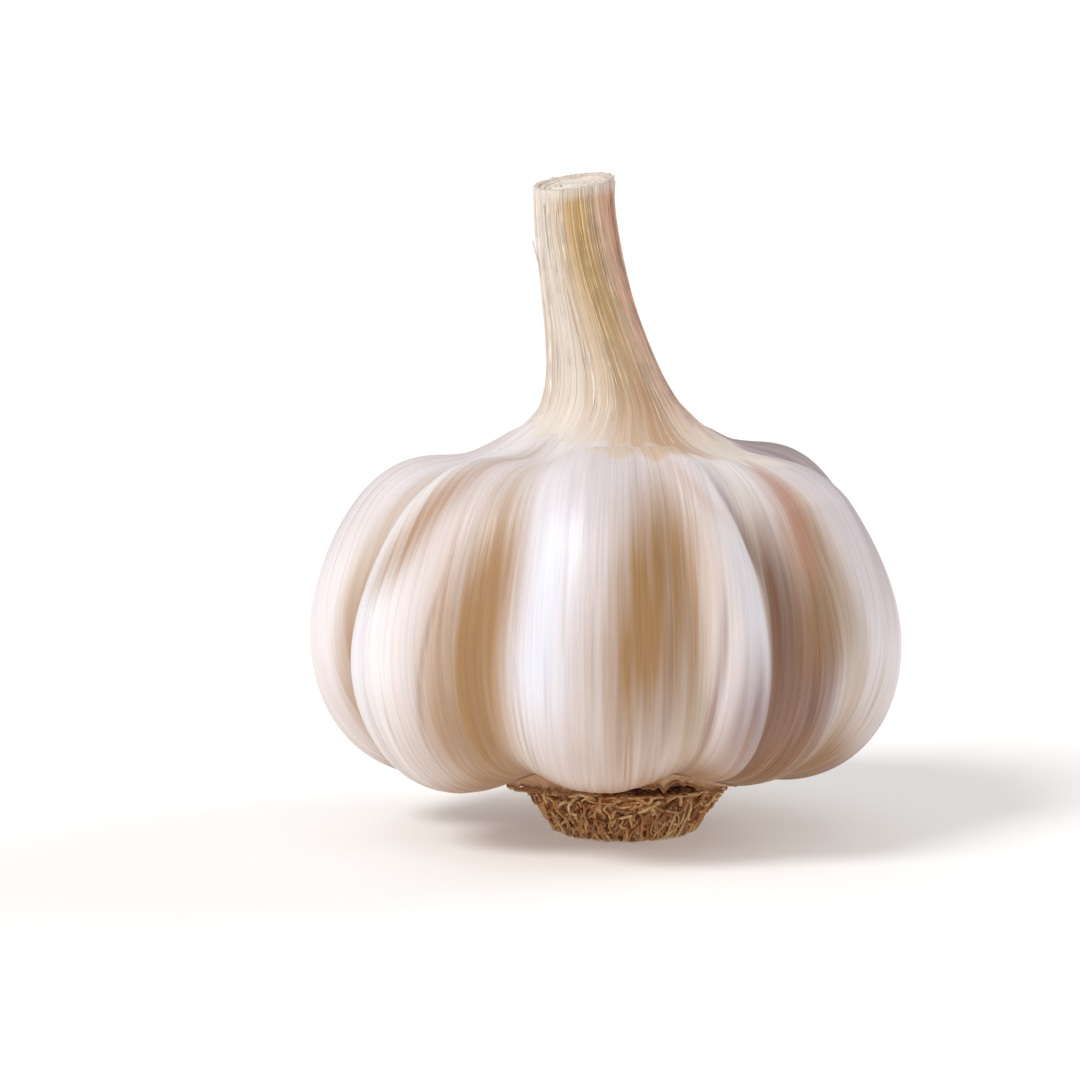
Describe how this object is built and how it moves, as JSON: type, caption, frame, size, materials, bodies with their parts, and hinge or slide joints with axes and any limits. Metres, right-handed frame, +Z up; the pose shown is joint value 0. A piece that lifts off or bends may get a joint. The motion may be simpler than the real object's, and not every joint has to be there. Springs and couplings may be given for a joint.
{
  "type": "garlic bulb",
  "caption": "Whole garlic bulb: papery skin drawn over a ring of cloves, a cut leaning neck above, and a root plate with cropped roots that it stands on.",
  "frame": {"origin": "middle of the flat spot on the root plate that the bulb rests on", "axes": "+Z up the bulb to its cut neck, -Y towards the front, where the widest clove is, +X to the right of the front"},
  "size_m": [0.0604, 0.0594, 0.0678],
  "materials": {
    "papery_skin": "dry papery skin, satin, pale pinkish white with tan hollows",
    "dried_root": "dry corky fibre, golden brown, matt"
  },
  "bodies": {
    "root": {"bulb": "papery_skin", "root_tuft": "dried_root"}
  },
  "joints": []
}
